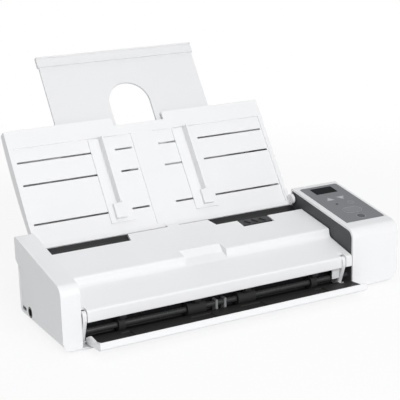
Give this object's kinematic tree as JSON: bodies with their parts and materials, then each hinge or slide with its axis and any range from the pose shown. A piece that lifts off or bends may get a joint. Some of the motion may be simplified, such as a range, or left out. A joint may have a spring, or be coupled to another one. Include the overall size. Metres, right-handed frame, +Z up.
{
  "type": "document scanner",
  "caption": "Portable sheet-fed document scanner with hinged top cover, fold-out input tray, sliding paper guides, pull-out extension and exit flap",
  "frame": {"origin": "centre of the bounding box at table level, under the rubber feet", "axes": "+X to the scanner's right along its length, +Y to the back where the tray stands, +Z up"},
  "size_m": [0.316, 0.2214, 0.1979],
  "materials": {
    "board_green": "circuit board",
    "bright_metal": "bright plated metal",
    "clear_glass": "clear glass",
    "dark_gloss": "glossy black shaft",
    "dark_plastic": "fine black moulding",
    "dark_ribbed": "black ribbed moulding",
    "grey_plastic": "dark grey moulding",
    "key_grey": "soft grey key",
    "lcd_glass": "dark display window",
    "led_lens": "translucent lens",
    "panel_grey": "blue-grey overlay",
    "pulley_white": "natural moulded plastic",
    "rubber": "matt black rubber",
    "soft_rubber": "grey rubber",
    "steel": "ground steel",
    "white_gloss": "smooth white moulding",
    "white_plastic": "fine satin white moulding"
  },
  "bodies": {
    "chassis": {"left_cap": "white_gloss", "right_cap": "white_gloss", "left_side_plate": "white_plastic", "right_side_plate": "grey_plastic", "base_pan": "white_plastic", "lower_guide": "dark_plastic", "lower_glass": "clear_glass", "lower_sensor": "dark_plastic", "left_ear": "white_plastic", "right_ear": "white_plastic", "shaft_saddles": "white_plastic", "panel": "panel_grey", "key_board": "board_green", "lcd": "lcd_glass", "status_led": "led_lens", "data_port": "bright_metal", "power_jack": "dark_plastic", "feet": "soft_rubber"},
    "cover": {"cover_shell": "white_gloss", "upper_guide": "dark_plastic", "upper_glass": "clear_glass", "upper_sensor": "dark_plastic", "separation_pad": "soft_rubber", "left_cover_pin": "steel", "right_cover_pin": "steel"},
    "latch": {"latch_pad": "dark_ribbed"},
    "tray": {"tray_bed": "white_plastic", "tray_back": "white_gloss", "tray_pins": "steel"},
    "extension": {"extension": "white_plastic"},
    "left_guide": {"left_guide": "white_plastic", "left_rack": "white_plastic"},
    "right_guide": {"right_guide": "white_plastic", "right_rack": "white_plastic"},
    "pinion": {"pinion": "pulley_white"},
    "flap": {"flap_shell": "white_gloss", "flap_liner": "dark_plastic", "flap_pins": "steel"},
    "exit_roller": {"exit_shaft": "dark_gloss", "exit_tyres": "rubber"},
    "drive_roller": {"drive_roller": "rubber"},
    "feed_roller": {"feed_roller": "rubber"},
    "exit_idlers": {"exit_idlers": "dark_plastic"},
    "drive_idlers": {"drive_idlers": "dark_plastic"},
    "up_key": {"up_key": "key_grey"},
    "down_key": {"down_key": "key_grey"},
    "mode_key": {"mode_key": "key_grey"},
    "scan_key": {"scan_key": "key_grey"},
    "power_key": {"power_key": "key_grey"}
  },
  "joints": [
    {"name": "cover_hinge", "type": "hinge", "parent": "chassis", "child": "cover", "pos_m": [-0.016, -0.0851, 0.0286], "axis": [-1, 0, 0], "range_deg": [-60, 0]},
    {"name": "latch_slide", "type": "slide", "parent": "cover", "child": "latch", "axis": [0, -0.9857, -0.1685], "range_m": [0, 0.002], "stiffness_N_per_m": 300, "springref_m": -0.001},
    {"name": "tray_hinge", "type": "hinge", "parent": "chassis", "child": "tray", "pos_m": [-0.016, 0.004, 0.0613], "axis": [1, 0, 0], "range_deg": [0, 134.2]},
    {"name": "extension_slide", "type": "slide", "parent": "tray", "child": "extension", "axis": [0, -0.5664, -0.8241], "range_m": [0, 0.054]},
    {"name": "left_guide_slide", "type": "slide", "parent": "tray", "child": "left_guide", "axis": [1, 0, 0], "range_m": [-0.0676, 0.017]},
    {"name": "right_guide_slide", "type": "slide", "parent": "tray", "child": "right_guide", "axis": [1, 0, 0], "range_m": [-0.017, 0.0676]},
    {"name": "pinion_spin", "type": "hinge", "parent": "tray", "child": "pinion", "pos_m": [-0.016, 0.04155, 0.10066], "axis": [0, -0.8241, 0.5664], "range_deg": [-634.8, 160.4]},
    {"name": "flap_hinge", "type": "hinge", "parent": "chassis", "child": "flap", "pos_m": [-0.016, -0.0843, 0.0066], "axis": [-1, 0, 0], "range_deg": [0, 57]},
    {"name": "drive_spin", "type": "hinge", "parent": "chassis", "child": "drive_roller", "pos_m": [-0.016, -0.0357, 0.02956], "axis": [1, 0, 0], "continuous": true},
    {"name": "exit_spin", "type": "hinge", "parent": "chassis", "child": "exit_roller", "pos_m": [-0.016, -0.07839, 0.01242], "axis": [1, 0, 0], "continuous": true},
    {"name": "feed_spin", "type": "hinge", "parent": "chassis", "child": "feed_roller", "pos_m": [-0.016, -0.01646, 0.03537], "axis": [1, 0, 0], "continuous": true},
    {"name": "exit_idler_spin", "type": "hinge", "parent": "cover", "child": "exit_idlers", "pos_m": [-0.016, -0.08197, 0.02106], "axis": [1, 0, 0], "continuous": true},
    {"name": "drive_idler_spin", "type": "hinge", "parent": "cover", "child": "drive_idlers", "pos_m": [-0.016, -0.03947, 0.03866], "axis": [1, 0, 0], "continuous": true},
    {"name": "up_key_press", "type": "slide", "parent": "chassis", "child": "up_key", "axis": [0, 0.1685, -0.9857], "range_m": [0, 0.0005], "stiffness_N_per_m": 250, "springref_m": -0.0005},
    {"name": "down_key_press", "type": "slide", "parent": "chassis", "child": "down_key", "axis": [0, 0.1685, -0.9857], "range_m": [0, 0.0005], "stiffness_N_per_m": 250, "springref_m": -0.0005},
    {"name": "mode_key_press", "type": "slide", "parent": "chassis", "child": "mode_key", "axis": [0, 0.1685, -0.9857], "range_m": [0, 0.0005], "stiffness_N_per_m": 250, "springref_m": -0.0005},
    {"name": "scan_key_press", "type": "slide", "parent": "chassis", "child": "scan_key", "axis": [0, 0.1685, -0.9857], "range_m": [0, 0.0005], "stiffness_N_per_m": 250, "springref_m": -0.0005},
    {"name": "power_key_press", "type": "slide", "parent": "chassis", "child": "power_key", "axis": [0, 0.1685, -0.9857], "range_m": [0, 0.0005], "stiffness_N_per_m": 250, "springref_m": -0.0005}
  ],
  "couplings": [
    {"joint": "right_guide_slide", "follows": "left_guide_slide", "ratio": -1},
    {"joint": "pinion_spin", "follows": "left_guide_slide", "rad_per_m": 163.62},
    {"joint": "exit_spin", "follows": "drive_spin", "ratio": 1.0909},
    {"joint": "feed_spin", "follows": "drive_spin", "ratio": 0.75}
  ]
}
